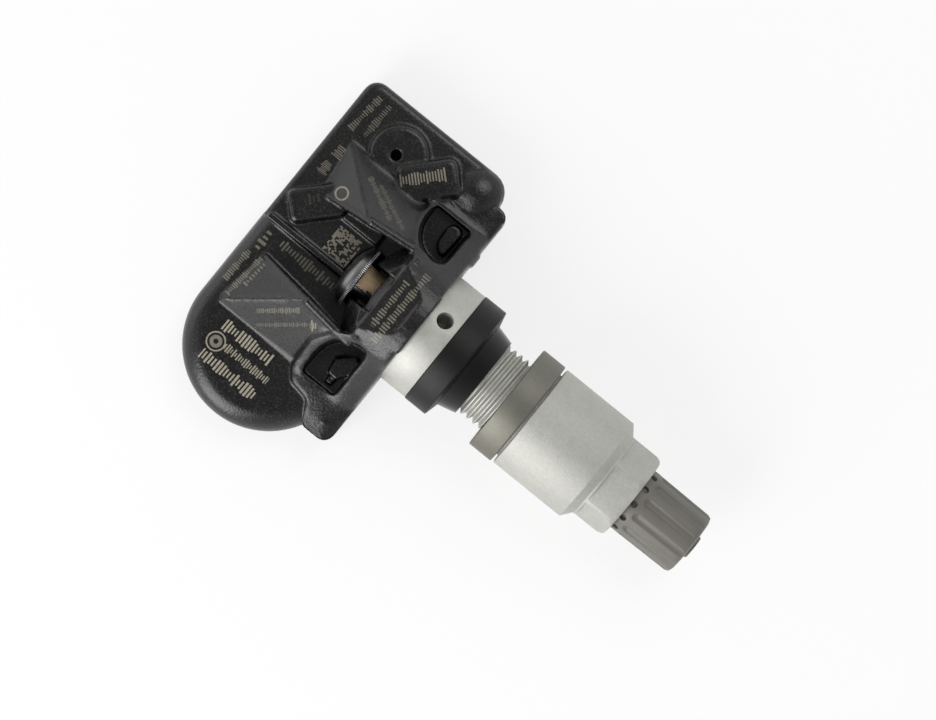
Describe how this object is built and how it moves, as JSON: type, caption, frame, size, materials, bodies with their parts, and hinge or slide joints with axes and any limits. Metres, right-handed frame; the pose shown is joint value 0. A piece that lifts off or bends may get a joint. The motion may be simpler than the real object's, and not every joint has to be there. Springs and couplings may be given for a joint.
{
  "type": "tyre pressure sensor",
  "caption": "Tyre pressure sensor for a car wheel: moulded sensor housing on a ball-seated clamp-in metal valve with grommet, union nut and dust cap.",
  "frame": {"origin": "middle of the grommet face that seats on the inside of the wheel rim, on the valve axis", "axes": "+X out along the valve to the dust cap, +Y to the pressure port end of the housing, +Z away from the base"},
  "size_m": [0.0716, 0.0478, 0.0181],
  "materials": {
    "shell_plastic": "fine-grained black glass-filled plastic",
    "cover_plastic": "smooth black plastic",
    "board": "green solder resist",
    "cell_steel": "drawn stainless can",
    "tab_nickel": "nickel strip",
    "package": "moulded chip package",
    "soft_seal": "soft silicone",
    "ferrite": "sintered ferrite",
    "copper_wire": "enamelled copper winding",
    "crystal_can": "plated can",
    "antenna_metal": "tinned strip",
    "capacitor": "sintered chip",
    "valve_aluminium": "anodised satin aluminium",
    "grommet_rubber": "matt disc and glossy neck",
    "screw_steel": "dark bright steel with a thread-lock patch",
    "core_brass": "turned brass",
    "core_seal": "red sealing ring",
    "spring_steel": "drawn wire",
    "ring_metal": "grey-brown anodised ring",
    "nut_aluminium": "blasted satin aluminium",
    "cap_plastic": "grey moulded plastic",
    "cap_gasket": "red-brown soft ring"
  },
  "bodies": {
    "sensor_unit": {"housing": "shell_plastic", "base_cover": "cover_plastic", "circuit_board": "board", "battery_cell": "cell_steel", "battery_tab_plus": "tab_nickel", "battery_tab_minus": "tab_nickel", "sensor_chip": "package", "port_seal": "soft_seal", "coil_core": "ferrite", "coil_winding": "copper_wire", "crystal": "crystal_can", "antenna": "antenna_metal", "chip_capacitors": "capacitor"},
    "valve_unit": {"valve_stem": "valve_aluminium", "rim_grommet": "grommet_rubber", "retaining_screw": "screw_steel", "core_body": "core_brass", "core_barrel_seal": "core_seal", "core_spring": "spring_steel"},
    "pin_unit": {"core_pin": "core_brass", "core_cup": "soft_seal"},
    "ring_unit": {"spacer_ring": "ring_metal"},
    "nut_unit": {"union_nut": "nut_aluminium"},
    "seal_unit": {"cap_seal": "cap_gasket"},
    "cap_unit": {"dust_cap": "cap_plastic"}
  },
  "joints": [
    {"name": "valve_tilt", "type": "hinge", "parent": "sensor_unit", "child": "valve_unit", "pos_m": [-0.0047, 0, 0], "axis": [0, 1, 0], "range_deg": [0, 17]},
    {"name": "pin_press", "type": "slide", "parent": "valve_unit", "child": "pin_unit", "axis": [-1, 0, 0], "range_m": [0, 0.0009], "stiffness_N_per_m": 300, "springref_m": -0.001, "deforming": ["core_spring"]},
    {"name": "nut_advance", "type": "slide", "parent": "valve_unit", "child": "ring_unit", "axis": [1, 0, 0], "range_m": [-0.0036, 0]},
    {"name": "nut_turn", "type": "hinge", "parent": "ring_unit", "child": "nut_unit", "pos_m": [0.015, 0, 0], "axis": [1, 0, 0], "range_deg": [-1297, 0]},
    {"name": "cap_advance", "type": "slide", "parent": "valve_unit", "child": "seal_unit", "axis": [1, 0, 0], "range_m": [0, 0.0105]},
    {"name": "cap_turn", "type": "hinge", "parent": "seal_unit", "child": "cap_unit", "pos_m": [0.033, 0, 0], "axis": [1, 0, 0], "range_deg": [0, 4764]}
  ],
  "couplings": [
    {"joint": "nut_turn", "follows": "nut_advance", "rad_per_m": 6283.2},
    {"joint": "cap_turn", "follows": "cap_advance", "rad_per_m": 7915.8}
  ]
}
